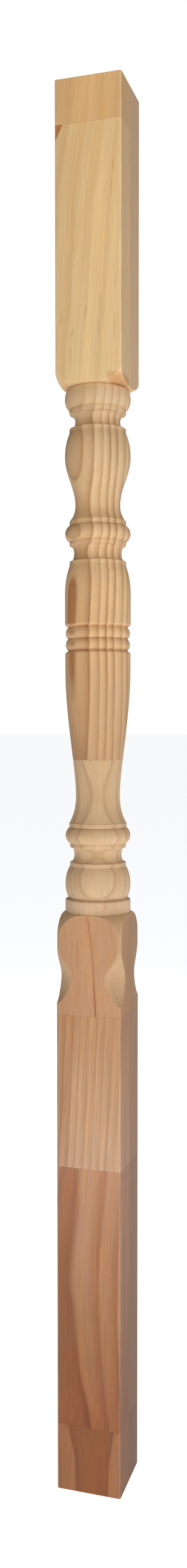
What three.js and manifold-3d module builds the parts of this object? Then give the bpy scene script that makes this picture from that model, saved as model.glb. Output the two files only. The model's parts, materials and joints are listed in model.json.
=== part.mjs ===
// Turned verandah post, 115 x 115 x 2400 mm, +Z up, origin at the middle of the foot.
// One blank of softwood: square at both ends, turned round between them.
// The solid is the square prism of the blank with everything outside the turned
// outline taken away, so the shoulders meet the flats in the same arcs as on a lathe.

import * as THREE from "three";
import { mergeVertices } from "three/addons/utils/BufferGeometryUtils.js";
import Module from "manifold-3d";

// ---------------------------------------------------------------- sizes, mm
const SIDE = 115; // width of the square blank
const LENGTH = 2400; // whole height
const ARRIS = 3; // eased radius along the four long edges
const FOOT_SQUARE = 858; // square part at the bottom, up to the first lathe cut
const HEAD_SQUARE = 470; // square part at the top
const CLEAR = 82; // lathe radius that leaves the corners of the blank untouched

// outer radii of the turned parts
const R_BEAD = 56.2; // the three large beads
const R_VASE = 56.2;
const R_BARREL = 56.6;
const R_BALL = 56.5;
const R_COLLAR = 56.6; // plain band above the lower shoulder
const R_REED = 55.3; // the two small half-rounds of the belt
const R_TAPER = 56.2; // top of the long taper
const R_CROWN = 77.8; // rounded corners above the waist of the foot square
const R_WAIST = 64.7; // waist cut into the corners of the foot square

// inner radii
const R_CREASE = 51.2; // where the upper shoulder meets the first bead
const R_QUIRK = 47.4; // root of a bead
const R_FILLET = 48.5; // narrow fillets between beads and coves
const R_COVE_1 = 38.4;
const R_COVE_2 = 40.8;
const R_COVE_3 = 40.9;
const R_COVE_LIP = 46.6; // edge of a cove
const R_VASE_NECK = 38.4;
const R_TAPER_NECK = 38.1;
const R_FLARE_LIP = 48; // end of the flare under a neck
const R_GROOVE = 50.2; // bottom of the V cuts of the belt
const R_BALL_QUIRK = 49.6; // bottom of the cut between ball and collar

// heights along the post
const H_UPPER_SHOULDER = 25;
const H_BEAD_1 = 35;
const H_BEAD_2 = 27;
const H_BEAD_3 = 28;
const H_FILLET = 7;
const H_FILLET_WIDE = 8;
const H_COVE_1 = 25;
const H_COVE_2 = 26;
const H_COVE_3 = 25;
const H_VASE_SWELL = 40;
const H_VASE_FALL = 81;
const H_VASE_FLARE = 27;
const H_BARREL_SWELL = 51;
const H_BARREL = 50.5;
const H_V_CUT = 4.5; // half of a V cut
const H_REED = 19.5;
const H_TAPER_HEAD = 28.5;
const H_TAPER = 216;
const H_TAPER_FLARE = 47;
const H_BALL_SWELL = 31;
const H_BALL_FALL = 24;
const H_BALL_CUT = 3;
const H_COLLAR = 22;
const H_CROWN_SWELL = 36;
const H_CROWN = 22;
const H_WAIST_FALL = 50.5;
const H_WAIST_COVE = 45.5;

const ROUND = 0.5523; // handle length of a quarter circle
const BEAD_ROUND = 0.47; // a bead is a little sharper than a half circle
const SEGMENTS = 36; // facets round the lathe
const ARRIS_STEPS = 3;

// ------------------------------------------------------------ turned outline
// A pen that moves down the post and keeps the outline it leaves: x is the
// radius and y the height.
class Outline {
  constructor(z, r) {
    this.points = [new THREE.Vector2(r, z)];
  }
  get last() {
    return this.points[this.points.length - 1];
  }
  to(r, drop) {
    this.points.push(new THREE.Vector2(r, this.last.y - drop));
  }
  curve(r, drop, r1, drop1, r2, drop2, steps) {
    const { x, y } = this.last;
    const bezier = new THREE.CubicBezierCurve(
      new THREE.Vector2(x, y),
      new THREE.Vector2(r1, y - drop1),
      new THREE.Vector2(r2, y - drop2),
      new THREE.Vector2(r, y - drop),
    );
    this.points.push(...bezier.getPoints(steps).slice(1));
  }
  // leaves square to the axis, arrives along it
  swell(r, drop, steps, k = ROUND) {
    const x = this.last.x;
    this.curve(r, drop, x + (r - x) * k, 0, r, drop * (1 - k), steps);
  }
  // leaves along the axis, arrives square to it
  close(r, drop, steps, k = ROUND) {
    const x = this.last.x;
    this.curve(r, drop, x, drop * k, r + (x - r) * k, drop, steps);
  }
  // leaves and arrives along the axis; a and b say how long it holds each radius
  fall(r, drop, steps, a = 0.364, b = 0.364) {
    this.curve(r, drop, this.last.x, drop * a, r, drop * (1 - b), steps);
  }
  // leaves at a slope, arrives along the axis
  rise(r, drop, steps) {
    const x = this.last.x;
    this.curve(r, drop, x + (r - x) * 0.25, drop * 0.15, r, drop * 0.4, steps);
  }
  // leaves along the axis, arrives at a slope
  flare(r, drop, steps) {
    const x = this.last.x;
    this.curve(r, drop, x, drop * 0.6, r + (x - r) * 0.25, drop * 0.85, steps);
  }
  fillet(r, drop) {
    this.to(r, 0);
    this.to(r, drop);
  }
  bead(root0, r, root1, drop, steps = 3) {
    if (root0 !== this.last.x) this.to(root0, 0);
    this.swell(r, drop / 2, steps, BEAD_ROUND);
    this.close(root1, drop / 2, steps, BEAD_ROUND);
  }
  cove(r, drop, steps = 3) {
    this.to(R_COVE_LIP, 0);
    this.swell(r, drop / 2, steps);
    this.close(R_COVE_LIP, drop / 2, steps);
  }
}

function turnedOutline() {
  const o = new Outline(LENGTH - HEAD_SQUARE, CLEAR);
  o.close(R_CREASE, H_UPPER_SHOULDER, 6, 0.48);
  // first bead, which springs at a slope from the crease, and first cove
  o.rise(R_BEAD, H_BEAD_1 / 2, 4);
  o.close(R_QUIRK, H_BEAD_1 / 2, 4, BEAD_ROUND);
  o.fillet(R_FILLET, H_FILLET);
  o.cove(R_COVE_1, H_COVE_1);
  o.fillet(R_FILLET, H_FILLET);
  // vase
  o.rise(R_VASE, H_VASE_SWELL, 4);
  o.fall(R_VASE_NECK, H_VASE_FALL, 6);
  o.flare(R_FLARE_LIP, H_VASE_FLARE, 3);
  // second bead and cove
  o.fillet(R_FILLET, H_FILLET_WIDE);
  o.bead(R_QUIRK, R_BEAD, R_QUIRK, H_BEAD_2);
  o.fillet(R_FILLET, H_FILLET);
  o.cove(R_COVE_2, H_COVE_2);
  o.fillet(R_FILLET, H_FILLET);
  // barrel, belt of two reeds between V cuts
  o.rise(R_BARREL, H_BARREL_SWELL, 4);
  o.to(R_BARREL, H_BARREL);
  o.to(R_GROOVE, H_V_CUT);
  for (let i = 0; i < 2; i++) o.bead(R_GROOVE, R_REED, R_GROOVE, H_REED, 2);
  o.to(R_TAPER, H_V_CUT);
  // long taper
  o.to(R_TAPER, H_TAPER_HEAD);
  o.fall(R_TAPER_NECK, H_TAPER, 7, 0.38, 0.22);
  o.flare(R_FILLET, H_TAPER_FLARE, 4);
  // third bead and cove
  o.fillet(R_FILLET + 1.2, H_FILLET_WIDE);
  o.bead(R_QUIRK, R_BEAD, R_QUIRK, H_BEAD_3);
  o.fillet(R_FILLET, H_FILLET);
  o.cove(R_COVE_3, H_COVE_3);
  o.fillet(R_FILLET, H_FILLET);
  // ball and collar
  o.rise(R_BALL, H_BALL_SWELL, 4);
  o.close(R_BALL_QUIRK, H_BALL_FALL, 4, 0.5);
  o.to(R_COLLAR, H_BALL_CUT);
  o.to(R_COLLAR, H_COLLAR);
  // lower shoulder: crown, waist, and the cove that runs out into the square
  o.swell(R_CROWN, H_CROWN_SWELL, 5, 0.42);
  o.to(R_CROWN, H_CROWN);
  o.fall(R_WAIST, H_WAIST_FALL, 5);
  const x = o.last.x;
  o.curve(
    CLEAR, H_WAIST_COVE,
    x, H_WAIST_COVE * 0.48,
    x + (CLEAR - x) * 0.6, H_WAIST_COVE,
    5,
  );
  return o.points;
}

// --------------------------------------------------------------- geometries
function lathe() {
  const over = 20; // the stock runs past both ends of the blank
  const profile = [
    new THREE.Vector2(0, LENGTH + over),
    new THREE.Vector2(CLEAR, LENGTH + over),
    ...turnedOutline(),
    new THREE.Vector2(CLEAR, -over),
    new THREE.Vector2(0, -over),
  ].reverse();
  return new THREE.LatheGeometry(profile, SEGMENTS).rotateX(Math.PI / 2);
}

function blank() {
  const a = SIDE / 2;
  const c = a - ARRIS;
  const outline = new THREE.Shape();
  [
    [c, c, 0],
    [-c, c, 1],
    [-c, -c, 2],
    [c, -c, 3],
  ].forEach(([x, y, quarter]) => {
    for (let i = 0; i <= ARRIS_STEPS; i++) {
      const t = ((quarter + i / ARRIS_STEPS) * Math.PI) / 2;
      const px = x + ARRIS * Math.cos(t);
      const py = y + ARRIS * Math.sin(t);
      if (quarter === 0 && i === 0) outline.moveTo(px, py);
      else outline.lineTo(px, py);
    }
  });
  outline.closePath();
  return new THREE.ExtrudeGeometry(outline, {
    depth: LENGTH,
    bevelEnabled: false,
    steps: 1,
  });
}

// ------------------------------------------------------------- the one solid
const wasm = await Module();
wasm.setup();

function toSolid(geometry) {
  const g = geometry.clone();
  g.deleteAttribute("normal");
  g.deleteAttribute("uv");
  const merged = mergeVertices(g, 1e-3);
  return new wasm.Manifold(
    new wasm.Mesh({
      numProp: 3,
      vertProperties: merged.attributes.position.array,
      triVerts: new Uint32Array(merged.index.array),
    }),
  );
}

function toGeometry(solid) {
  const mesh = solid.getMesh();
  return new THREE.BufferGeometry()
    .setAttribute(
      "position",
      new THREE.BufferAttribute(new Float32Array(mesh.vertProperties), 3),
    )
    .setIndex(new THREE.BufferAttribute(new Uint32Array(mesh.triVerts), 1));
}

const post = new THREE.Mesh(
  toGeometry(toSolid(blank()).intersect(toSolid(lathe()))),
  new THREE.MeshStandardMaterial({
    color: new THREE.Color(0.72, 0.47, 0.25),
    roughness: 0.55,
    metalness: 0,
  }),
);
post.name = "turned_post";
post.geometry.computeVertexNormals();

const verandahPost = new THREE.Group();
verandahPost.add(post);

export default verandahPost;
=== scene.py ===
import json
import math

import bpy
import numpy as np
from mathutils import Matrix

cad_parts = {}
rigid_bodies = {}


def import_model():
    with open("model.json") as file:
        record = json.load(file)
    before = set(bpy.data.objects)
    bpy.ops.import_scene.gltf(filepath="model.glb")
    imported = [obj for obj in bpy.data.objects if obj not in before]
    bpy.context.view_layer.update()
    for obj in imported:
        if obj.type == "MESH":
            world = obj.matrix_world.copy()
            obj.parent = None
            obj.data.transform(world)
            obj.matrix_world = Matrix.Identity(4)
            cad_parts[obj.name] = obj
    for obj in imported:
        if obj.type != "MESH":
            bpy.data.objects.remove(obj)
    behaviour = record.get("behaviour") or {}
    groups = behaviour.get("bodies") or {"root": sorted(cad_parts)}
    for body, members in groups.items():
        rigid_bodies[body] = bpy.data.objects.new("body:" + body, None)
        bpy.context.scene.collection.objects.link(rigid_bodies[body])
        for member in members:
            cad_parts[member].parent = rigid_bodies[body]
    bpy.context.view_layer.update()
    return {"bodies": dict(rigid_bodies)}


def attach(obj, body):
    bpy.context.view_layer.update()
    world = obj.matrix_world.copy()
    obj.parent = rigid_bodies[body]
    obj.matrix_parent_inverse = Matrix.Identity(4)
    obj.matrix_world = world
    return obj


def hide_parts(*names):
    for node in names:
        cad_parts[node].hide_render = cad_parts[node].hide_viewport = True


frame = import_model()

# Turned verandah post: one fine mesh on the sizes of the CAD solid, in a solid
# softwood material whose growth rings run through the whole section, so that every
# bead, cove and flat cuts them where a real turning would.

# ------------------------------------------------------------------ sizes, mm
SIDE = 115.0
HALF = SIDE / 2
LENGTH = 2400.0
ARRIS = 3.0
FOOT_SQUARE = 858.0
HEAD_SQUARE = 470.0
CLEAR = 82.0

R_BEAD, R_VASE, R_BARREL, R_BALL, R_COLLAR = 56.2, 56.2, 56.6, 56.5, 56.6
R_REED, R_TAPER, R_CROWN, R_WAIST = 55.3, 56.2, 77.8, 64.7
R_CREASE, R_QUIRK, R_FILLET = 51.2, 47.4, 48.5
R_COVE_1, R_COVE_2, R_COVE_3, R_COVE_LIP = 38.4, 40.8, 40.9, 46.6
R_VASE_NECK, R_TAPER_NECK, R_FLARE_LIP = 38.4, 38.1, 48.0
R_GROOVE, R_BALL_QUIRK = 50.2, 49.6

H_UPPER_SHOULDER = 25.0
H_BEAD_1, H_BEAD_2, H_BEAD_3 = 35.0, 27.0, 28.0
H_FILLET, H_FILLET_WIDE = 7.0, 8.0
H_COVE_1, H_COVE_2, H_COVE_3 = 25.0, 26.0, 25.0
H_VASE_SWELL, H_VASE_FALL, H_VASE_FLARE = 40.0, 81.0, 27.0
H_BARREL_SWELL, H_BARREL = 51.0, 50.5
H_V_CUT, H_REED = 4.5, 19.5
H_TAPER_HEAD, H_TAPER, H_TAPER_FLARE = 28.5, 216.0, 47.0
H_BALL_SWELL, H_BALL_FALL, H_BALL_CUT, H_COLLAR = 31.0, 24.0, 3.0, 22.0
H_CROWN_SWELL, H_CROWN, H_WAIST_FALL, H_WAIST_COVE = 36.0, 22.0, 50.5, 45.5

ROUND, BEAD_ROUND = 0.5523, 0.47
FINE = 5  # curve steps for each step of the CAD outline
EASE = 1.35  # how far sandpaper has rounded an outer edge, each way
ROOT = 0.35  # the same at an inner corner
SAND = 0.35  # eased width of the edges between flats and turning


# ------------------------------------------------------------- turned outline
class Outline:
    """A pen that moves down the post: x is the radius, y the height."""

    def __init__(self, z, r):
        self.points = [(r, z)]
        self.steps = [False]  # whether a straight cut begins or ends here

    def to(self, r, drop):
        self.points.append((r, self.points[-1][1] - drop))

    def curve(self, r, drop, r1, drop1, r2, drop2, steps):
        x, y = self.points[-1]
        n = steps * FINE
        for i in range(1, n + 1):
            t = i / n
            u = 1 - t
            self.points.append(
                (
                    u**3 * x + 3 * u * u * t * r1 + 3 * u * t * t * r2 + t**3 * r,
                    y - 3 * u * u * t * drop1 - 3 * u * t * t * drop2 - t**3 * drop,
                )
            )

    def swell(self, r, drop, steps, k=ROUND):
        x = self.points[-1][0]
        self.curve(r, drop, x + (r - x) * k, 0, r, drop * (1 - k), steps)

    def close(self, r, drop, steps, k=ROUND):
        x = self.points[-1][0]
        self.curve(r, drop, x, drop * k, r + (x - r) * k, drop, steps)

    def fall(self, r, drop, steps, a=0.364, b=0.364):
        self.curve(r, drop, self.points[-1][0], drop * a, r, drop * (1 - b), steps)

    def rise(self, r, drop, steps):
        x = self.points[-1][0]
        self.curve(r, drop, x + (r - x) * 0.25, drop * 0.15, r, drop * 0.4, steps)

    def flare(self, r, drop, steps):
        x = self.points[-1][0]
        self.curve(r, drop, x, drop * 0.6, r + (x - r) * 0.25, drop * 0.85, steps)

    def fillet(self, r, drop):
        self.to(r, 0)
        self.to(r, drop)

    def bead(self, root0, r, root1, drop, steps=3):
        if root0 != self.points[-1][0]:
            self.to(root0, 0)
        self.swell(r, drop / 2, steps, BEAD_ROUND)
        self.close(root1, drop / 2, steps, BEAD_ROUND)

    def cove(self, r, drop, steps=3):
        self.to(R_COVE_LIP, 0)
        self.swell(r, drop / 2, steps)
        self.close(R_COVE_LIP, drop / 2, steps)


def turned_outline():
    o = Outline(LENGTH - HEAD_SQUARE, CLEAR)
    o.close(R_CREASE, H_UPPER_SHOULDER, 6, 0.48)
    o.rise(R_BEAD, H_BEAD_1 / 2, 4)
    o.close(R_QUIRK, H_BEAD_1 / 2, 4, BEAD_ROUND)
    o.fillet(R_FILLET, H_FILLET)
    o.cove(R_COVE_1, H_COVE_1)
    o.fillet(R_FILLET, H_FILLET)
    o.rise(R_VASE, H_VASE_SWELL, 4)
    o.fall(R_VASE_NECK, H_VASE_FALL, 6)
    o.flare(R_FLARE_LIP, H_VASE_FLARE, 3)
    o.fillet(R_FILLET, H_FILLET_WIDE)
    o.bead(R_QUIRK, R_BEAD, R_QUIRK, H_BEAD_2)
    o.fillet(R_FILLET, H_FILLET)
    o.cove(R_COVE_2, H_COVE_2)
    o.fillet(R_FILLET, H_FILLET)
    o.rise(R_BARREL, H_BARREL_SWELL, 4)
    o.to(R_BARREL, H_BARREL)
    o.to(R_GROOVE, H_V_CUT)
    for _ in range(2):
        o.bead(R_GROOVE, R_REED, R_GROOVE, H_REED, 2)
    o.to(R_TAPER, H_V_CUT)
    o.to(R_TAPER, H_TAPER_HEAD)
    o.fall(R_TAPER_NECK, H_TAPER, 7, 0.38, 0.22)
    o.flare(R_FILLET, H_TAPER_FLARE, 4)
    o.fillet(R_FILLET + 1.2, H_FILLET_WIDE)
    o.bead(R_QUIRK, R_BEAD, R_QUIRK, H_BEAD_3)
    o.fillet(R_FILLET, H_FILLET)
    o.cove(R_COVE_3, H_COVE_3)
    o.fillet(R_FILLET, H_FILLET)
    o.rise(R_BALL, H_BALL_SWELL, 4)
    o.close(R_BALL_QUIRK, H_BALL_FALL, 4, 0.5)
    o.to(R_COLLAR, H_BALL_CUT)
    o.to(R_COLLAR, H_COLLAR)
    o.swell(R_CROWN, H_CROWN_SWELL, 5, 0.42)
    o.to(R_CROWN, H_CROWN)
    o.fall(R_WAIST, H_WAIST_FALL, 5)
    x = o.points[-1][0]
    o.curve(
        CLEAR, H_WAIST_COVE, x, H_WAIST_COVE * 0.48,
        x + (CLEAR - x) * 0.6, H_WAIST_COVE, 5,
    )
    return np.array(o.points)


def eased(points):
    """The outline with its corners rounded as sanding leaves them. Returns the
    radius, height, outer edge weight and inner corner weight of every ring."""
    keep = [0]
    for i in range(1, len(points)):
        if np.hypot(*(points[i] - points[keep[-1]])) > 1e-6:
            keep.append(i)
    p = points[keep]
    step = np.diff(p, axis=0)
    size = np.hypot(step[:, 0], step[:, 1])
    s = np.concatenate([[0], np.cumsum(size)])
    way = np.unwrap(np.arctan2(step[:, 0], -step[:, 1]))
    turn = np.diff(way)  # positive where the outline opens outwards: an inner corner
    corners = [
        (s[i + 1], turn[i]) for i in range(len(turn)) if abs(turn[i]) > math.radians(24)
    ]

    def at(t):
        return np.array([np.interp(t, s, p[:, 0]), np.interp(t, s, p[:, 1])])

    rings = []  # arc length, radius, height, outer, inner
    cuts = []
    for n, (c, t) in enumerate(corners):
        room = 0.42 * min(
            c - corners[n - 1][0] if n else 1e9,
            corners[n + 1][0] - c if n + 1 < len(corners) else 1e9,
        )
        half = min(ROOT if t > 0 else EASE * min(1, abs(t)), room)
        cuts.append((c - half * 1.9, c + half * 1.9))
        a, b, m = at(c - half), at(c + half), at(c)
        n_arc = 3 if t > 0 else 5
        for i in range(n_arc + 1):
            f = i / n_arc
            q = a * (1 - f) ** 2 + m * 2 * f * (1 - f) + b * f * f
            w = math.sin(math.pi * f) ** 0.5 if 0 < f < 1 else 0.0
            rings.append(
                (c - half + 2 * half * f, *q, 0.0 if t > 0 else w, w if t > 0 else 0.0)
            )
        for side in (-1, 1):
            t1 = c + side * half * 1.9
            rings.append((t1, *at(t1), 0.0, 0.0))
    for i, t in enumerate(s):
        if not any(a < t < b for a, b in cuts):
            rings.append((t, *p[i], 0.0, 0.0))
    # long straight stretches get rings of their own, so that block colours can vary
    rings.sort()
    out = [rings[0]]
    for ring in rings[1:]:
        a = out[-1]
        if ring[0] - a[0] < 0.04:
            continue
        gap = ring[0] - a[0]
        for i in range(1, int(gap // 12) + 1):
            f = i / (int(gap // 12) + 1)
            out.append(tuple(np.array(a) * (1 - f) + np.array(ring) * f))
        out.append(ring)
    return np.array(out)[:, 1:]


# ----------------------------------------------------------- blocks of timber
# The blank is glued up from two boards, front and back, in seven lengths. Every
# board has its own pith line (x, y in mm at heights z), ring width, figure and
# colours; colours are sRGB bytes of the wood, but for painted light at the vase neck.
JOINTS = [117.0, 574.0, 839.0, 1041.5, 1276.0, 2326.0]
CREASE = 1905.0  # the long block's figure changes here, between turning and square
SPLITS = sorted(JOINTS + [CREASE])
LAMINATION = 0.0  # y of the glue line between front and back boards


def board(path, width, start, line=0.5, band=0.5, wave=1.5, pale=None, dark=None,
          heart=None, seed=0.0, streak=None, uneven=1.0):
    """path: [(z, x, y)] of the pith; width and start: ring width and the distance of
    the first ring; line and band: strength of narrow and of gradual latewood;
    heart: (edge distance, [(z, amount)]); uneven: how far ring widths vary."""
    return dict(
        path=np.array(path, float), width=width, start=start,
        line=line if isinstance(line, list) else [(0, line)],
        band=band if isinstance(band, list) else [(0, band)],
        wave=wave, pale=pale, dark=dark,
        heart=heart or (0.0, [(0, 0.0)]), seed=seed, streak=streak, uneven=uneven,
    )


def leaning(depths, reach=230.0, turn=15.9):
    """A pith path that lets one ring reach the given depths [(z, distance from the
    axis)], seen square on from the direction turn degrees right of the front."""
    a = math.radians(turn)
    return [(z, -math.sin(a) * (reach - d), math.cos(a) * (reach - d)) for z, d in depths]


FRONT = [
    board(  # foot block: broad dark tongue
        [(0, 5.9, -109.9), (10, 5.9, -109.9), (60, 5.9, -108.6), (117, 3.6, -100.8)],
        19, 60, 0.5, 0.3, 0.8,
        [(0, (179, 122, 80)), (117, (177, 118, 77))], [(0, (160, 101, 63))],
        (60.0, [(0, 0.9)]), 1.7, uneven=0.0,
    ),
    board(  # red brown, wide wavy bands that lean to the left and back
        [(117, -51.6, -115.5), (124, -51.6, -115.9), (209, -50.9, -129.5),
         (283, -52.7, -132.2), (337, -52.8, -134), (366, -51.4, -135.8),
         (427, -50.8, -135), (488, -46.6, -133.8), (561, -37, -135.7), (574, -35.5, -136)],
        24.3, 81, 0.2, 0.68, 0.8,
        [(117, (175, 111, 70)), (160, (178, 117, 76)), (300, (190, 137, 95)),
         (400, (204, 151, 113)), (574, (214, 163, 126))],
        [(117, (152, 82, 44)), (200, (156, 91, 53)), (400, (173, 112, 73)),
         (574, (190, 130, 91))],
        (81.0, [(117, 0.55), (300, 0.34), (420, 0.18), (574, 0.08)]), 8.3,
        uneven=0.0,
    ),
    board(  # upright stripes
        [(574, -310, -75), (700, -303, -72), (839, -296, -70)], 14.2, 2.5, 0.0, 0.42, 2.6,
        [(574, (226, 184, 152)), (700, (221, 176, 135)), (839, (214, 163, 119))],
        [(574, (184, 138, 102)), (839, (180, 132, 89))],
        (272.0, [(574, 0.32), (700, 0.36), (839, 0.3)]), 3.1, uneven=0.6,
    ),
    board(  # orange brown with a narrow dark streak
        [(839, 30, 260), (1041, 10, 280)], 26, 6, 0.1, 0.2, 2.5,
        [(839, (214, 163, 123)), (1008, (212, 162, 120)), (1020, (226, 179, 143)),
         (1041, (226, 179, 143))],
        [(839, (201, 148, 106)), (1008, (200, 148, 105)), (1020, (216, 163, 126)),
         (1041, (216, 163, 126))],
        None, 5.9,
        [(839, 12.9), (869, 11.3), (895, 10.0), (921, 8.6), (951, 6.4), (982, 2.4),
         (1007, -1.2), (1017.5, -2.0), (1017.6, 27.4), (1041, 27.4)],
    ),
    board(  # light tan, rings square on to the eye
        leaning([(1041, 53.1), (1050, 52.5), (1072, 49.9), (1093, 44.2), (1104, 41.8),
                 (1128, 43), (1137, 46), (1150, 48), (1163, 43.7), (1180, 40.2),
                 (1198, 38), (1230, 37.9), (1250, 37.5), (1276, 36.4)]),
        13.4, 230.0, 0.5, 0.25, 0.5,
        [(1041, (230, 196, 156)), (1276, (222, 187, 144))],
        [(1041, (194, 156, 111)), (1276, (192, 150, 104))],
        None, 12.4, uneven=0.0,
    ),
    board(  # long block where it is turned: bold stripes
        [(1276, -89.5, -121.1), (1400, -89.2, -123.2), (1500, -93, -119.5),
         (1600, -82.6, -127), (1700, -86.6, -115.4), (1800, -90.4, -108.1),
         (1860, -87, -109.7), (1905, -84, -110)],
        15.2, 97,
        [(1276, 0.2), (1500, 0.25), (1850, 0.25), (1868, 0.15), (1905, 0.1)],
        [(1276, 0.5), (1500, 0.62), (1850, 0.66), (1868, 0.4), (1905, 0.2)],
        0.8,
        # pale and dark are lighter round 1710: painted light in the neck of the vase
        [(1276, (214, 173, 130)),
         (1500, (237, 198, 150)),
         (1675, (231, 196, 150)),
         (1710, (239, 202, 157)),
         (1755, (228, 194, 150)),
         (1905, (222, 191, 150))],
        [(1276, (169, 124, 80)),
         (1500, (186, 138, 89)),
         (1675, (183, 139, 93)),
         (1710, (191, 146, 98)),
         (1755, (182, 140, 95)),
         (1905, (180, 141, 98))],
        (114.5, [(1276, 0.55), (1450, 0.35), (1600, 0.25), (1780, 0.35), (1905, 0.2)]),
        0.0,
    ),
    board(  # the same block where it is square: faint bands that lean to the right
        [(1905, -322, -60), (1990, -318, -60), (2030, -312, -60), (2085, -310, -60),
         (2145, -305, -60), (2200, -303, -60), (2260, -294, -60), (2326, -283, -60)],
        31, 3, 0.0, 0.36, 1.2,
        [(1905, (235, 204, 152)), (2100, (230, 198, 146)), (2326, (223, 189, 136))],
        [(1905, (217, 174, 119)), (2326, (203, 160, 104))],
        None, 17.0, uneven=0.3,
    ),
    board(  # head block, plain golden
        [(2326, -190, -20), (2400, -186, -20)], 27, 4, 0.05, 0.3, 1.6,
        [(2326, (217, 176, 122))], [(2326, (204, 159, 102))],
        None, 21.3,
    ),
]
BACK = [
    board([(0, 60, 150), (117, 64, 152)], 16, 3, 0.3, 0.4, 2.0,
          [(0, (162, 116, 87))], [(0, (143, 95, 67))], None, 31.7),
    board([(117, -20, 170), (574, 30, 160)], 17, 8, 0.25, 0.5, 2.6,
          [(117, (171, 126, 93)), (574, (190, 150, 123))],
          [(117, (149, 100, 69)), (574, (169, 125, 98))], None, 38.3),
    board([(574, 250, 90), (839, 262, 100)], 14, 2, 0.3, 0.5, 2.6,
          [(574, (201, 158, 128))], [(574, (180, 133, 101))], None, 33.1),
    board([(839, -60, -240), (1041, -40, -250)], 22, 6, 0.2, 0.3, 2.4,
          [(839, (205, 161, 127)), (1008, (204, 161, 126)), (1020, (219, 178, 144))],
          [(839, (186, 138, 102)), (1008, (185, 138, 101)), (1020, (203, 158, 123))],
          None, 35.9),
    board([(1041, 12, -190), (1276, 6, -186)], 14, 4, 0.4, 0.3, 1.2,
          [(1041, (224, 189, 151)), (1276, (218, 183, 144))], [(1041, (194, 154, 113))],
          None, 42.4),
    board([(1276, 120, 130), (1700, 112, 126), (1905, 118, 122)],
          15.5, 7, 0.3, [(1276, 0.8), (1905, 0.7)], 1.4,
          [(1276, (219, 177, 138)), (1905, (220, 186, 148))],
          [(1276, (191, 145, 104)), (1905, (194, 153, 112))],
          (70.0, [(1276, 0.5), (1905, 0.3)]), 30.0),
    board([(1905, 118, 122), (2000, 128, 120), (2326, 106, 132)],
          17.5, 7, 0.15, 0.4, 1.6,
          [(1905, (229, 195, 149)), (2326, (214, 182, 136))],
          [(1905, (208, 168, 118)), (2326, (194, 157, 110))],
          (70.0, [(1905, 0.3), (2326, 0.2)]), 30.0),
    board([(2326, 160, 60), (2400, 160, 60)], 20, 4, 0.2, 0.35, 2.0,
          [(2326, (212, 176, 132))], [(2326, (196, 157, 111))], None, 51.3),
]


def linear(rgb):
    c = np.asarray(rgb, float) / 255.0
    return np.where(c <= 0.04045, c / 12.92, ((c + 0.055) / 1.055) ** 2.4)


# ------------------------------------------------------------------- the mesh
ARCS = 12  # columns in half a corner


def half_side(r):
    """Half of one side of the section whose turned radius is r, from the middle of
    the flat to the corner: points along the side's normal and along the side, and
    the edge weight of each."""
    flat = math.sqrt(max(r * r - HALF * HALF, 0.0)) if r > HALF else 0.0
    tangent = HALF - ARRIS
    w = min(flat, tangent)
    c = min(SAND, 0.15 * w)
    pts = [(HALF, f) for f in (0.0, 0.5 * w, w - 2.2 * c, w - c)]
    edge = [0.0, 0.0, 0.25, 1.0 if w > 2 else w / 2]
    if flat >= tangent:  # the arris is still there, or partly cut off
        edge[2], edge[3] = 0.15, 0.5
        for j in range(ARCS + 2):
            t = math.radians(45) * j / (ARCS + 1)
            x, y = tangent + ARRIS * math.cos(t), tangent + ARRIS * math.sin(t)
            over = max(math.hypot(x, y) / r, 1.0)
            pts.append((x / over, y / over))
            edge.append(0.6 + 0.4 * math.sin(t * 2))
        return pts, edge
    if w <= 0:
        pts = [(r, 0.0)] * 6
        first = 0.0
    else:
        start = math.atan2(flat, HALF)
        pts += [
            (r * math.cos(start + k * c / r), r * math.sin(start + k * c / r))
            for k in (1.0, 2.2)
        ]
        first = start + 2.2 * c / r
    edge += [edge[3], 0.25 * edge[3]]
    for j in range(ARCS):
        a = first + (math.radians(45) - first) * (j + 1) / ARCS
        pts.append((r * math.cos(a), r * math.sin(a)))
        edge.append(0.0)
    return pts, edge


def ring_of(r, inset=0.0):
    """The closed section at turned radius r, from the corner at -X +Y round by -Y:
    places, edge weights and, per stretch to the next place, whether it is turned."""
    pts, edge = half_side(r)
    places, weights, turned = [], [], []
    n = len(pts)
    square = r >= CLEAR - 0.5
    for side in (2, 3, 0, 1):
        a = side * math.pi / 2
        nx, ny = math.cos(a), math.sin(a)
        for j in range(-(n - 1), n - 1):
            p, t = pts[abs(j)]
            t = math.copysign(t, j)
            places.append((p * nx - t * ny, p * ny + t * nx))
            weights.append(edge[abs(j)])
            m = max(abs(j), abs(j + 1))  # the stretch's outer end
            turned.append(0.0 if square or m <= 3 else 0.5 if m == 4 else 1.0)
    places = np.array(places)
    if inset:
        places *= (HALF - inset) / HALF
    return places, np.array(weights), np.array(turned)


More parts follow.
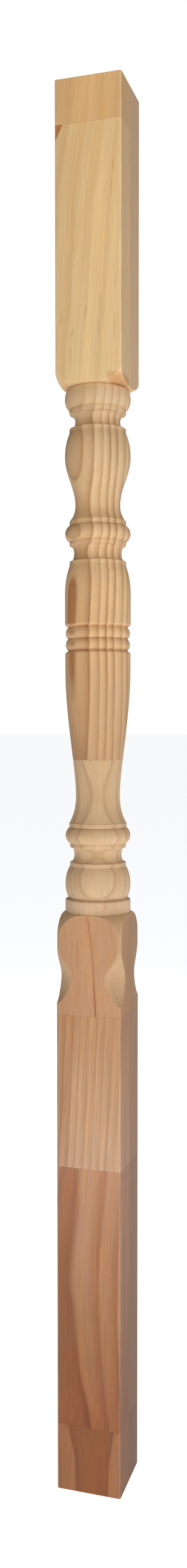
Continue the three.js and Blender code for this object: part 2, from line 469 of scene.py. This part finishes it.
def make_post():
    turned = eased(turned_outline())
    spans = [
        (0.0, 200.0, 0, 0, 1.4), (0.0, 200.0, 0, 0, 0.45), (0.45, 200.0, 1, 0, 0.0),
        (1.4, 200.0, 0, 0, 0.0),
    ]
    rings = [(z, r, e, g, i) for z, r, e, g, i in spans]
    z = 1.4
    stops = sorted(
        set(np.arange(20, FOOT_SQUARE - 8, 20).tolist())
        | {j for j in JOINTS if j < FOOT_SQUARE}
    )
    rings += [(z, 200.0, 0, 0, 0) for z in stops]
    for r, z, outer, inner in turned[::-1]:
        rings.append((z, r, outer, inner, 0))
    top = LENGTH - HEAD_SQUARE
    stops = sorted(
        set(np.arange(top + 10, LENGTH - 8, 20).tolist())
        | {j for j in JOINTS if j > top}
    )
    rings += [(z, 200.0, 0, 0, 0) for z in stops]
    rings += [(LENGTH - z, r, e, g, i) for z, r, e, g, i in reversed(spans)]

    # rings exactly where the outline leaves the flats, and at the joints
    full = [rings[0]]
    for b in rings[1:]:
        a = full[-1]
        cuts = []
        if (a[1] - HALF) * (b[1] - HALF) < 0 and b[0] - a[0] < 30:
            cuts.append((HALF - a[1]) / (b[1] - a[1]))
        for zj in JOINTS:
            if a[0] + 1e-6 < zj < b[0] - 1e-6:
                cuts.append((zj - a[0]) / (b[0] - a[0]))
        for f in sorted(cuts):
            if a[1] > 150 or b[1] > 150:
                continue
            full.append(tuple(np.array(a) * (1 - f) + np.array(b) * f))
        full.append(b)
    rings = full

    verts, ids, col_edge, col_turned = [], [], [], []
    ring_edge, ring_groove = [], []
    for z, r, outer, inner, inset in rings:
        if abs(r - HALF) < 1e-9:
            r = HALF
        places, weights, turned_cols = ring_of(min(r, CLEAR), inset)
        row = []
        for j, (x, y) in enumerate(places):
            if j and math.hypot(x - places[j - 1][0], y - places[j - 1][1]) < 1e-6:
                row.append(row[-1])
                continue
            row.append(len(verts))
            verts.append((x, y, z))
            square = r >= CLEAR - 0.5
            ring_edge.append(max(outer, weights[j]) if not square else
                             max(weights[j], outer))
            ring_groove.append(inner)
        ids.append(row)
        col_turned.append(turned_cols)
    count = len(ids[0])

    # distances for the texture layout: along the outline, and round each ring
    along = [0.0]
    for a, b in zip(rings, rings[1:]):
        along.append(
            along[-1] + max(math.hypot(b[0] - a[0], min(b[1], CLEAR) - min(a[1], CLEAR)), 0.05)
        )
    verts_np = np.array(verts)
    round_at = []
    for row in ids:
        p = verts_np[row + [row[0]]]
        d = np.concatenate([[0], np.cumsum(np.hypot(*np.diff(p[:, :2], axis=0).T))])
        round_at.append(d / d[-1])

    faces, corner_ring, corner_col, face_turned = [], [], [], []
    for k in range(len(ids) - 1):
        for j in range(count):
            nxt = (j + 1) % count
            quad = [
                (ids[k][j], k, j), (ids[k][nxt], k, j + 1),
                (ids[k + 1][nxt], k + 1, j + 1), (ids[k + 1][j], k + 1, j),
            ]
            seen, face = set(), []
            for q in quad:
                if q[0] not in seen:
                    seen.add(q[0])
                    face.append(q)
            if len(face) < 3:
                continue
            faces.append([q[0] for q in face])
            corner_ring += [q[1] for q in face]
            corner_col += [q[2] for q in face]
            lo, hi = col_turned[k][j], col_turned[k + 1][j]
            face_turned.append(max(lo, hi) if max(rings[k][1], rings[k + 1][1]) < 150 else 0.0)

    # flat ends, in two halves that meet at the glue line
    ends = []
    quarter = count // 4
    for k, flip in ((0, True), (len(ids) - 1, False)):
        for first in (quarter // 2, quarter // 2 + 2 * quarter):
            cols = [(first + i) % count for i in range(2 * quarter + 1)]
            row = []
            for c in cols:
                if not row or ids[k][c] != ids[k][row[-1]]:
                    row.append(c)
            if flip:
                row = row[::-1]
            faces.append([ids[k][c] for c in row])
            corner_ring += [k] * len(row)
            corner_col += row
            face_turned.append(0.0)
            ends.append(len(faces) - 1)

    me = bpy.data.meshes.new("post_timber")
    me.from_pydata((verts_np / 1000).tolist(), [], faces)
    me.polygons.foreach_set("use_smooth", [True] * len(faces))
    totals = np.array([len(f) for f in faces])
    face_of = np.repeat(np.arange(len(faces)), totals)
    corner_ring, corner_col = np.array(corner_ring), np.array(corner_col)
    corner_vert = np.concatenate([np.array(f) for f in faces])
    z = verts_np[corner_vert, 2]
    starts = np.concatenate([[0], np.cumsum(totals)[:-1]])
    middle = np.add.reduceat(verts_np[corner_vert], starts) / totals[:, None]
    block = np.searchsorted(SPLITS, middle[:, 2])[face_of]
    back = (middle[:, 1] > LAMINATION)[face_of]

    def fill(name, kind, values):
        layer = me.attributes.new(name, kind, "CORNER")
        key = "color" if kind == "FLOAT_COLOR" else "vector"
        layer.data.foreach_set(key, np.asarray(values, np.float32).ravel())

    n = len(z)
    uneven = np.zeros(n)
    pith, figure, detail, hearts = (np.zeros((n, 3)) for _ in range(4))
    pale, dark = np.ones((n, 4)), np.ones((n, 4))
    for boards, at_back in ((FRONT, False), (BACK, True)):
        for i, b in enumerate(boards):
            m = (block == i) & (back == at_back)
            zz = z[m]

            def along_z(table, zz=zz):
                t = np.array(table, float)
                return np.interp(zz, t[:, 0], t[:, 1])

            path = b["path"]
            pith[m] = np.stack(
                [np.interp(zz, path[:, 0], path[:, 1]),
                 np.interp(zz, path[:, 0], path[:, 2]),
                 np.full(len(zz), b["start"])], 1,
            )
            figure[m] = np.stack(
                [np.full(len(zz), 1 / b["width"]), along_z(b["line"]), along_z(b["band"])], 1
            )
            uneven[m] = b["uneven"]
            edge, amount = b["heart"]
            hearts[m] = np.stack(
                [np.full(len(zz), edge), along_z(amount), np.full(len(zz), b["wave"])], 1
            )
            streak = along_z(b["streak"]) if b["streak"] else np.full(len(zz), 1e4)
            detail[m] = np.stack(
                [np.full(len(zz), b["seed"]), streak, np.zeros(len(zz))], 1
            )
            for target, key in ((pale, "pale"), (dark, "dark")):
                t = np.array([k[0] for k in b[key]], float)
                c = np.array([linear(k[1]) for k in b[key]])
                target[m, :3] = np.stack([np.interp(zz, t, c[:, q]) for q in range(3)], 1)
    is_end = np.zeros(len(faces))
    is_end[ends] = 1
    slope = np.gradient([min(r[1], CLEAR) for r in rings], np.maximum.accumulate(
        np.array([r[0] for r in rings]) + np.arange(len(rings)) * 1e-5))
    steep = slope**2 / (1 + slope**2)
    turned_c = np.array(face_turned)[face_of]
    detail[:, 2] = steep[corner_ring] * turned_c
    fill("pith", "FLOAT_VECTOR", pith)
    fill("figure", "FLOAT_VECTOR", figure)
    fill("heart", "FLOAT_VECTOR", hearts)
    fill("detail", "FLOAT_VECTOR", detail)
    fill("pale_wood", "FLOAT_COLOR", pale)
    fill("dark_wood", "FLOAT_COLOR", dark)
    fill(
        "surface", "FLOAT_VECTOR",
        np.stack([turned_c, is_end[face_of], uneven], 1),
    )
    # edge weights carry wear and a painted highlight, inner corner weights dust and a painted shade
    wear_and_painted_light = me.attributes.new("wear_and_painted_light", "FLOAT_VECTOR", "POINT")
    wear_and_painted_light.data.foreach_set(
        "vector",
        np.stack([ring_edge, ring_groove, np.zeros(len(verts))], 1).astype(np.float32).ravel(),
    )

    # texture layout: two strips side by side, and the ends in the corner beside them
    uv = np.zeros((n, 2))
    cut = int(np.argmin([abs(r[0] - 1276.0) for r in rings]))
    total = np.array(along)
    scale = max(total[cut], total[-1] - total[cut])
    u_round = np.array([list(r) for r in round_at])
    face_ring = np.minimum.reduceat(corner_ring, starts)[face_of]
    lower = face_ring < cut
    margin, width = 0.006, 0.395
    uv[:, 0] = u_round[corner_ring, corner_col] * width + margin
    uv[:, 1] = (total[corner_ring] / scale) * 0.985 + margin
    up = ~lower
    uv[up, 0] += width + 0.012
    uv[up, 1] = ((total[corner_ring[up]] - total[cut]) / scale) * 0.985 + margin
    cap = is_end[face_of] > 0
    at_top = z > LENGTH / 2
    x0 = 2 * (width + 0.012) + margin + 0.09
    uv[cap, 0] = x0 + verts_np[corner_vert[cap], 0] / 115 * 0.16
    uv[cap, 1] = np.where(at_top[cap], 0.75, 0.25) + verts_np[corner_vert[cap], 1] / 115 * 0.16
    layer = me.uv_layers.new(name="OFBake")
    layer.data.foreach_set("uv", uv.astype(np.float32).ravel())

    me.validate()
    me.update()
    ob = bpy.data.objects.new("post_timber", me)
    bpy.context.scene.collection.objects.link(ob)
    print("post:", len(rings), "rings,", sum(len(f) - 2 for f in faces), "triangles")
    return ob


# ------------------------------------------------------------------- material
class Nodes:
    """Short names for the nodes of one material."""

    def __init__(self, tree):
        self.tree = tree

    def new(self, kind, **props):
        n = self.tree.nodes.new(kind)
        for k, v in props.items():
            setattr(n, k, v)
        return n

    def feed(self, socket, value):
        if isinstance(value, bpy.types.NodeSocket):
            self.tree.links.new(value, socket)
        elif value is not None:
            socket.default_value = value

    def math(self, op, a, b=None, c=None, clamp=False):
        n = self.new("ShaderNodeMath", operation=op, use_clamp=clamp)
        for s, v in zip(n.inputs, (a, b, c)):
            self.feed(s, v)
        return n.outputs[0]

    def vector(self, op, a, b=None, c=None, scale=None):
        n = self.new("ShaderNodeVectorMath", operation=op)
        for s, v in zip(n.inputs, (a, b, c)):
            self.feed(s, v)
        if scale is not None:
            self.feed(n.inputs["Scale"], scale)
        return n.outputs["Value" if op in ("LENGTH", "DISTANCE", "DOT_PRODUCT") else "Vector"]

    def split(self, v):
        n = self.new("ShaderNodeSeparateXYZ")
        self.feed(n.inputs[0], v)
        return n.outputs[0], n.outputs[1], n.outputs[2]

    def join(self, x, y, z):
        n = self.new("ShaderNodeCombineXYZ")
        for s, v in zip(n.inputs, (x, y, z)):
            self.feed(s, v)
        return n.outputs[0]

    def attribute(self, name):
        return self.new("ShaderNodeAttribute", attribute_name=name)

    def noise(self, v, detail=2.0, rough=0.5, dims="3D"):
        n = self.new("ShaderNodeTexNoise", noise_dimensions=dims)
        self.feed(n.inputs["Vector" if dims != "1D" else "W"], v)
        n.inputs["Scale"].default_value = 1.0
        n.inputs["Detail"].default_value = detail
        n.inputs["Roughness"].default_value = rough
        return n.outputs["Fac"]

    def ramp(self, f, stops, ease="LINEAR"):
        n = self.new("ShaderNodeValToRGB")
        band = n.color_ramp
        band.interpolation = ease
        while len(band.elements) < len(stops):
            band.elements.new(1.0)
        for e, (p, v) in zip(band.elements, stops):
            e.position = p
            e.color = (v, v, v, 1) if isinstance(v, (int, float)) else (*v, 1)
        self.feed(n.inputs[0], f)
        return n.outputs[0]

    def band(self, v, lo, hi, a=0.0, b=1.0):
        """Smooth step from a at lo to b at hi."""
        n = self.new("ShaderNodeMapRange", interpolation_type="SMOOTHSTEP")
        for s, x in zip(n.inputs, (v, lo, hi, a, b)):
            self.feed(s, x)
        return n.outputs[0]

    def mix(self, f, a, b, blend="MIX"):
        n = self.new("ShaderNodeMix", data_type="RGBA", blend_type=blend)
        n.clamp_factor = True
        self.feed(n.inputs[0], f)
        for s, v in ((n.inputs[6], a), (n.inputs[7], b)):
            self.feed(s, (*v, 1.0) if isinstance(v, tuple) and len(v) == 3 else v)
        return n.outputs[2]

    def blend(self, f, a, b):
        n = self.new("ShaderNodeMix", data_type="FLOAT")
        n.clamp_factor = True
        for s, v in ((n.inputs[0], f), (n.inputs[2], a), (n.inputs[3], b)):
            self.feed(s, v)
        return n.outputs[0]

    def tint(self, c, amount, centre, factor):
        """Colour c times 1 + factor * (amount - centre)."""
        f = self.math("MULTIPLY_ADD", amount, factor, 1.0 - centre * factor)
        return self.vector("SCALE", c, scale=f)


def softwood():
    mat = bpy.data.materials.new("softwood")
    mat.use_nodes = True
    tree = mat.node_tree
    tree.nodes.clear()
    k = Nodes(tree)
    out = k.new("ShaderNodeOutputMaterial")
    shader = k.new("ShaderNodeBsdfPrincipled")
    tree.links.new(shader.outputs[0], out.inputs[0])

    place = k.new("ShaderNodeTexCoord").outputs["Object"]
    mm = k.vector("SCALE", place, scale=1000.0)
    x, y, z = k.split(mm)
    pith_x, pith_y, start = k.split(k.attribute("pith").outputs["Vector"])
    rate, line, band = k.split(k.attribute("figure").outputs["Vector"])
    heart_edge, heart_amount, wave = k.split(k.attribute("heart").outputs["Vector"])
    seed, streak_x, steep = k.split(k.attribute("detail").outputs["Vector"])
    turned, end, uneven = k.split(k.attribute("surface").outputs["Vector"])
    # edge: wear and a painted highlight; groove: dust and a painted shade
    edge, groove, _ = k.split(k.attribute("wear_and_painted_light").outputs["Vector"])
    pale = k.attribute("pale_wood").outputs["Color"]
    dark = k.attribute("dark_wood").outputs["Color"]

    shift = k.vector("SCALE", k.join(13.7, 7.1, 31.3), scale=seed)

    # places that lean with the fibres, which run along the pith
    along = k.join(k.math("SUBTRACT", x, pith_x), k.math("SUBTRACT", y, pith_y), z)

    def grain(across, length, detail=2.0, rough=0.5, at=along):
        v = k.vector("MULTIPLY_ADD", at, (1 / across, 1 / across, 1 / length), shift)
        return k.noise(v, detail, rough)

    # distance from the pith, bent a little as a grown stem is
    bend = k.math("SUBTRACT", grain(48, 330, 2, at=mm), 0.5)
    ripple = k.math("SUBTRACT", grain(11, 90, 1, at=mm), 0.5)
    flat = k.join(k.math("SUBTRACT", x, pith_x), k.math("SUBTRACT", y, pith_y), 0.0)
    d = k.vector("LENGTH", flat)
    d = k.math("MULTIPLY_ADD", bend, k.math("MULTIPLY", wave, 2.4), d)
    d = k.math("MULTIPLY_ADD", ripple, 1.1, d)

    # rings differ in width
    t = k.math("MULTIPLY", k.math("SUBTRACT", d, start), rate)
    curve = k.new("ShaderNodeFloatCurve")
    c = curve.mapping.curves[0]
    marks = [(-4, -4), (0, 0), (1.151, 1), (2.145, 2), (3.02, 3), (3.888, 4),
             (5.01, 5), (5.9, 6), (7.05, 7), (7.9, 8), (9.1, 9), (9.95, 10), (12, 12)]
    c.points[0].location = (0, 0)
    c.points[1].location = (1, 1)
    for a, b in marks[1:-1]:
        c.points.new((a + 4) / 16, (b + 4) / 16)
    for p in c.points:
        p.handle_type = "VECTOR"
    curve.mapping.update()
    past = k.math("MULTIPLY", k.math("FLOOR", k.math("DIVIDE", t, 12.0)), 12.0)
    inside = k.math("SUBTRACT", t, past)
    k.feed(curve.inputs["Value"], k.math("MULTIPLY_ADD", inside, 1 / 16, 0.25))
    bent = k.math("ADD", k.math("MULTIPLY_ADD", curve.outputs[0], 16.0, -4.0), past)
    phase = k.blend(uneven, t, bent)
    f = k.math("FRACT", phase)
    ring_no = k.math("ADD", k.math("FLOOR", phase), seed)
    chance = k.new("ShaderNodeTexWhiteNoise", noise_dimensions="1D")
    k.feed(chance.inputs["W"], ring_no)
    luck = chance.outputs["Value"]

    gradual = k.ramp(f, [(0.0, 0.42), (0.08, 0.05), (0.34, 0.14), (0.6, 0.5), (0.8, 0.94),
                         (0.92, 1.0), (1.0, 0.42)])
    narrow = k.ramp(f, [(0.0, 0.45), (0.07, 0.0), (0.78, 0.0), (0.94, 1.0), (1.0, 0.45)])
    late = k.math("MULTIPLY", gradual, band)
    late = k.math("MULTIPLY_ADD", narrow, line, late)
    fade = k.math("MULTIPLY_ADD", grain(30, 200, 1), 0.7, 0.65)
    late = k.math("MULTIPLY", late, k.math("MULTIPLY_ADD", luck, 0.35, 0.82))
    late = k.math("MULTIPLY", late, fade, clamp=True)
    # the planed faces on the right show their rings less
    right = k.math("MULTIPLY", k.band(x, 56.5, 57.4), k.math("SUBTRACT", 1.0, turned))
    late = k.math("MULTIPLY", late, k.math("MULTIPLY_ADD", right, -0.5, 1.0))

    wood = k.mix(late, pale, dark)

    # heartwood: darker and redder inside its ring
    in_heart = k.band(d, k.math("SUBTRACT", heart_edge, 1.2), k.math("ADD", heart_edge, 0.3), 1.0, 0.0)
    in_heart = k.math("MULTIPLY", in_heart, heart_amount)
    wood = k.mix(in_heart, wood, k.vector("MULTIPLY", wood, (0.76, 0.62, 0.47)))

    # fibres, streaks and cloudy patches
    fibre = grain(0.8, 45, 3, 0.6)
    streaks = grain(4.5, 150, 2, 0.55)
    cloud = grain(38, 210, 2, 0.5)
    wood = k.tint(wood, fibre, 0.5, 0.2)
    wood = k.tint(wood, streaks, 0.5, 0.22)
    wood = k.tint(wood, cloud, 0.5, 0.22)
    hue = grain(5, 70, 3, 0.6)
    warm = k.band(hue, 0.4, 0.66)
    broad = grain(9, 320, 2, 0.55)
    fine = k.math("SUBTRACT", grain(3.4, 190, 2, 0.65), 0.5)
    amount = k.band(z, 838.8, 839.2, 0.5, 0.0)
    amount = k.math("MULTIPLY", amount, k.band(z, 573.8, 574.2, 0.65, 1.0))
    wood = k.vector("SCALE", wood, scale=k.math("MULTIPLY_ADD", fine, amount, 1.0))
    lower = k.band(z, 573.5, 574.5, 1.0, 0.25)
    wood = k.mix(lower, wood, k.vector("MULTIPLY", wood, k.mix(
        k.band(broad, 0.36, 0.64), (0.97, 0.98, 1.07), (1.05, 1.0, 0.88))))
    wood = k.vector("MULTIPLY", wood, k.mix(warm, (1.0, 1.01, 1.03), (1.0, 0.97, 0.9)))

    # red core where the turning comes nearest the pith, in the long block
    core = k.band(k.math("MULTIPLY_ADD", streaks, 2.2, d), 96.4, 98.8, 1.0, 0.0)
    core = k.math("MULTIPLY", core, k.band(z, 1395, 1425))
    core = k.math("MULTIPLY", core, k.band(z, 1585, 1600, 1.0, 0.0))
    core = k.math("MULTIPLY", core, k.band(z, 1277, 1278))
    wood = k.mix(k.math("MULTIPLY", core, 0.95), wood,
                 k.vector("MULTIPLY", wood, (0.9, 0.68, 0.55)))
    # and a wedge of it in the corner under the head joint
    wedge = k.math("MULTIPLY_ADD", k.math("SUBTRACT", 2326.0, z), 0.54,
                   k.math("ADD", x, 43.4))
    wedge = k.math("MULTIPLY_ADD", k.math("ADD", y, HALF), 0.35, wedge)
    wedge = k.math("MULTIPLY_ADD", ripple, 3.0, wedge)
    red = k.band(wedge, -0.6, 0.6, 1.0, 0.0)
    red = k.math("MULTIPLY", red, k.band(z, 2326.0, 2326.2, 1.0, 0.0))
    wood = k.mix(k.math("MULTIPLY", red, 0.95), wood,
                 k.vector("MULTIPLY", wood, (0.62, 0.34, 0.18)))

    # resin dashes: short, narrow and dark
    dash = k.band(grain(1.5, 26, 1, 0.4), 0.71, 0.77)
    wood = k.mix(k.math("MULTIPLY", dash, 0.22), wood,
                 k.vector("MULTIPLY", wood, (0.6, 0.48, 0.36)))
    front = k.band(y, -50.0, -54.0)
    marks_at = [  # x, height, half length, half width, lean
        (43.5, 2251, 15, 1.3, 0.05), (40.5, 2215, 22, 1.0, 0.08), (22.2, 2030, 20, 1.3, 0.06),
        (-3.4, 2019, 14, 1.3, 0.12), (-45.6, 2012, 15, 1.3, 0.12), (-27, 1986, 12, 1.3, 0.28),
        (19, 1990, 22, 0.9, 0.03), (46, 1996, 22, 0.9, 0.0), (47, 2062, 12, 0.9, 0.0),
        (-29.5, 1945, 26, 0.8, 0.03), (-20.2, 946, 34, 1.2, 0.025),
    ]
    total = None
    for mx, mz, length, half, lean in marks_at:
        dz = k.math("SUBTRACT", z, float(mz))
        dx = k.math("MULTIPLY_ADD", dz, -lean, k.math("SUBTRACT", x, float(mx)))
        q = k.math("ADD", k.math("POWER", k.math("ABSOLUTE", k.math("DIVIDE", dx, half)), 2.0),
                   k.math("POWER", k.math("ABSOLUTE", k.math("DIVIDE", dz, float(length))), 2.0))
        q = k.band(q, 0.1, 1.0, 1.0, 0.0)
        total = q if total is None else k.math("MAXIMUM", total, q)
    total = k.math("MULTIPLY", total, front)
    wood = k.mix(k.math("MULTIPLY", total, 0.6), wood,
                 k.vector("MULTIPLY", wood, (0.66, 0.52, 0.38)))

    # the narrow dark streak on the flat above the lower square, and a fainter one on
    # the collar over it
    away = k.math("ABSOLUTE", k.math("SUBTRACT", x, streak_x))
    thin = k.band(away, 0.3, 2.5, 1.0, 0.0)
    wide = k.band(away, 1.0, 9.0, 1.0, 0.0)
    low = k.math("MULTIPLY_ADD", k.band(z, 905, 885), 0.4,
                 k.math("MULTIPLY_ADD", k.band(z, 1014, 1000), 0.35, 0.25))
    front_half = k.band(y, 0.0, -1.0)
    thin = k.math("MULTIPLY", k.math("MULTIPLY", thin, low), front_half)
    wide = k.math("MULTIPLY", k.math("MULTIPLY", wide, front_half), 0.12)
    wood = k.mix(wide, wood, k.vector("MULTIPLY", wood, (0.7, 0.5, 0.36)))
    wood = k.mix(k.math("MULTIPLY", thin, 0.85), wood,
                 k.vector("MULTIPLY", wood, (0.62, 0.4, 0.25)))

    # a reddish patch under the upper shoulder, on the right
    patch = k.math("MULTIPLY", k.band(x, 29.0, 40.0), k.band(y, -2.0, -12.0))
    patch = k.math("MULTIPLY", patch, k.band(z, 1899.0, 1904.0))
    patch = k.math("MULTIPLY", patch, k.band(z, 1922.0, 1913.0))
    patch = k.math("MULTIPLY", patch, k.band(streaks, 0.3, 0.6, 0.6, 1.0))
    wood = k.mix(patch, wood, k.vector("MULTIPLY", wood, (0.82, 0.62, 0.52)))

    # fresh cuts of the lathe are a little paler and yellower than planed faces
    cut = k.math("MULTIPLY", turned, k.band(z, 1041.4, 1041.6, 1.0, 0.0))
    wood = k.mix(cut, wood, k.vector("MULTIPLY", wood, (1.02, 1.2, 1.25)))
    # a painted shade: the front of every board is painted darker towards the left
    left = k.math("MULTIPLY", k.band(x, 5.0, -62.0), k.band(y, 0.5, -0.5))
    wood = k.mix(left, wood, k.vector("MULTIPLY", wood, (0.88, 0.87, 0.88)))
    # and the planed faces on the right are painted darker than the front, and bluer near the top: a
    # painted shade on the side face
    right_face_painted_shade = k.ramp(k.math("MULTIPLY", z, 1 / LENGTH), [
        (0.0, (0.55, 0.49, 0.39)), (0.2, (0.62, 0.57, 0.5)), (0.346, (0.68, 0.6, 0.54)),
        (0.352, (0.72, 0.66, 0.53)), (0.8, (0.89, 0.88, 0.98)), (0.96, (0.84, 0.82, 0.96)),
        (0.972, (0.84, 0.89, 1.08)),
    ])
    wood = k.mix(right, wood, k.vector("MULTIPLY", wood, right_face_painted_shade))
    # end grain drinks light where the outline turns across the fibres
    across = k.math("MULTIPLY", steep, 0.2)
    wood = k.mix(across, wood, k.vector("MULTIPLY", wood, (0.82, 0.72, 0.6)))
    wood = k.mix(k.math("MULTIPLY", end, 0.85), wood,
                 k.vector("MULTIPLY", wood, (0.9, 0.82, 0.74)))

    # joints across the post and the glue line along it
    near = None
    for zj in JOINTS:
        g = k.math("ABSOLUTE", k.math("SUBTRACT", z, zj))
        near = g if near is None else k.math("MINIMUM", near, g)
    joint = k.band(near, 0.15, 0.7, 1.0, 0.0)
    joint = k.math("MULTIPLY", joint, k.band(grain(9, 400, 1), 0.36, 0.6, 0.25, 1.0))
    glue = k.band(k.math("ABSOLUTE", k.math("SUBTRACT", y, LAMINATION)), 0.12, 0.5, 1.0, 0.0)
    seam = k.math("MAXIMUM", joint, k.math("MULTIPLY", glue, 0.6))
    wood = k.mix(k.math("MULTIPLY", seam, 0.45), wood,
                 k.vector("MULTIPLY", wood, (0.62, 0.5, 0.42)))

    # wear and painted light: edges rubbed pale, with a painted highlight on them, and dust with a
    # painted shade in the quirks
    rub_and_highlight = k.math("MULTIPLY", edge, k.band(grain(6, 40, 2), 0.3, 0.62, 0.45, 1.0))
    wood = k.mix(k.math("MULTIPLY", rub_and_highlight, 0.6), wood,
                 k.vector("ADD", k.vector("SCALE", wood, scale=0.86), (0.17, 0.15, 0.12)))
    dust_and_painted_shade = k.math("MULTIPLY", groove, k.band(grain(8, 30, 2), 0.3, 0.6, 0.6, 1.0))
    wood = k.mix(k.math("MULTIPLY", dust_and_painted_shade, 0.3), wood,
                 k.vector("MULTIPLY", wood, (0.66, 0.54, 0.44)))
    tree.links.new(wood, shader.inputs["Base Color"])

    # gloss: latewood and rubbed edges are smoother, end grain is dull
    rough = k.math("MULTIPLY_ADD", late, -0.1, 0.62)
    rough = k.math("MULTIPLY_ADD", k.math("SUBTRACT", fibre, 0.5), 0.3, rough)
    rough = k.math("MULTIPLY_ADD", rub_and_highlight, -0.08, rough)
    rough = k.math("MULTIPLY_ADD", k.math("MAXIMUM", end, steep), 0.14, rough)
    rough = k.math("MULTIPLY_ADD", dust_and_painted_shade, 0.12, rough, clamp=True)
    tree.links.new(rough, shader.inputs["Roughness"])
    shader.inputs["Specular IOR Level"].default_value = 0.35

    # relief in mm: latewood stands proud, fibres, tool and saw marks, joints sunk
    relief = k.math("MULTIPLY", late, 0.05)
    relief = k.math("MULTIPLY_ADD", fibre, 0.05, relief)
    relief = k.math("MULTIPLY_ADD", dash, -0.08, relief)
    radius = k.vector("LENGTH", k.join(x, y, 0.0))
    tool = k.noise(k.join(k.math("MULTIPLY", radius, 0.6), 0.0, k.math("MULTIPLY", z, 0.9)), 2, 0.6)
    relief = k.math("MULTIPLY_ADD", k.math("MULTIPLY", tool, turned), 0.06, relief)
    planer = k.math("SINE", k.math("MULTIPLY", z, 2.4))
    still = k.math("SUBTRACT", 1.0, k.math("MAXIMUM", turned, end))
    relief = k.math("MULTIPLY_ADD", k.math("MULTIPLY", planer, still), 0.004, relief)
    saw = k.noise(k.join(k.math("MULTIPLY", x, 0.05), k.math("MULTIPLY", y, 0.9), 3.0), 3, 0.6)
    relief = k.math("MULTIPLY_ADD", k.math("MULTIPLY", saw, end), 0.25, relief)
    relief = k.math("MULTIPLY_ADD", seam, -0.12, relief)
    bump = k.new("ShaderNodeBump")
    bump.inputs["Strength"].default_value = 0.8
    bump.inputs["Distance"].default_value = 0.001
    k.feed(bump.inputs["Height"], relief)
    tree.links.new(bump.outputs[0], shader.inputs["Normal"])
    return mat


post = make_post()
post.data.materials.append(softwood())
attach(post, "root" if "root" in frame["bodies"] else next(iter(frame["bodies"])))
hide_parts("turned_post")


# ------------------------------------------------------------ floor and light
def plain(name, colour, rough):
    mat = bpy.data.materials.new(name)
    mat.use_nodes = True
    shader = mat.node_tree.nodes["Principled BSDF"]
    shader.inputs["Base Color"].default_value = (*colour, 1)
    shader.inputs["Roughness"].default_value = rough
    shader.inputs["Specular IOR Level"].default_value = 0.1
    return mat


def make_floor():
    me = bpy.data.meshes.new("floor")
    a, z = 200.0, -0.0004
    me.from_pydata([(-a, -a, z), (a, -a, z), (a, a, z), (-a, a, z)], [], [(0, 1, 2, 3)])
    ob = bpy.data.objects.new("floor", me)
    bpy.context.scene.collection.objects.link(ob)
    mat = plain("pale_floor", (0.86, 0.86, 0.86), 0.9)
    shader = mat.node_tree.nodes["Principled BSDF"]
    shader.inputs["Emission Color"].default_value = (0.98, 0.99, 1, 1)
    shader.inputs["Emission Strength"].default_value = 0.93
    me.materials.append(mat)


def area_light(name, place, aim, size, power, colour):
    data = bpy.data.lights.new(name, "AREA")
    data.shape = "RECTANGLE"
    data.size, data.size_y = size
    data.energy = power
    data.color = colour
    ob = bpy.data.objects.new(name, data)
    bpy.context.scene.collection.objects.link(ob)
    from mathutils import Vector

    ob.location = place
    ob.rotation_mode = "QUATERNION"
    ob.rotation_quaternion = (Vector(aim) - Vector(place)).to_track_quat("-Z", "Y")


def make_world():
    world = bpy.data.worlds.new("studio")
    bpy.context.scene.world = world
    world.use_nodes = True
    tree = world.node_tree
    tree.nodes.clear()
    out = tree.nodes.new("ShaderNodeOutputWorld")
    seen = tree.nodes.new("ShaderNodeBackground")
    seen.inputs["Color"].default_value = (1, 1, 1, 1)
    seen.inputs["Strength"].default_value = 1.0
    lit = tree.nodes.new("ShaderNodeBackground")
    lit.inputs["Color"].default_value = (0.8, 0.92, 1.0, 1)
    lit.inputs["Strength"].default_value = 0.03
    pick = tree.nodes.new("ShaderNodeMixShader")
    ray = tree.nodes.new("ShaderNodeLightPath")
    tree.links.new(ray.outputs["Is Camera Ray"], pick.inputs[0])
    tree.links.new(lit.outputs[0], pick.inputs[1])
    tree.links.new(seen.outputs[0], pick.inputs[2])
    tree.links.new(pick.outputs[0], out.inputs[0])


make_floor()
make_world()
area_light("key", (1.75, -2.95, 3.2), (0, 0, 1.9), (1.8, 1.2), 60, (1.0, 0.92, 0.845))
area_light("top", (0.0, 0.02, 4.4), (0, 0, 0), (1.0, 1.0), 16, (1.0, 0.97, 0.94))
area_light("back", (-1.2, 3.4, 2.6), (0, 0, 1.3), (1.8, 1.8), 34, (0.95, 0.97, 1.0))
area_light("fill", (3.2, 0.4, 1.6), (0, 0, 1.3), (1.5, 2.6), 5.6, (0.25, 0.5, 1.0))

# --------------------------------------------------------------------- camera
FRAME_PX = 2576  # long side of the photograph's frame
FOCAL_PX = 2051.48
cam_data = bpy.data.cameras.new("camera")
cam = bpy.data.objects.new("camera", cam_data)
bpy.context.scene.collection.objects.link(cam)
cam_data.sensor_width = 36.0
cam_data.lens = FOCAL_PX * 36.0 / FRAME_PX
cam_data.clip_start, cam_data.clip_end = 0.05, 100.0
yaw, pitch, roll = -0.2968, 0.0529, -0.0006
cam.matrix_world = (
    Matrix.Translation((0.62417, -2.06711, 1.34775))
    @ Matrix.Rotation(-yaw, 4, "Z")
    @ Matrix.Rotation(math.pi / 2 - pitch, 4, "X")
    @ Matrix.Rotation(roll, 4, "Z")
)
bpy.context.scene.camera = cam

view = bpy.context.scene.view_settings
view.view_transform = "Standard"
view.look = "None"
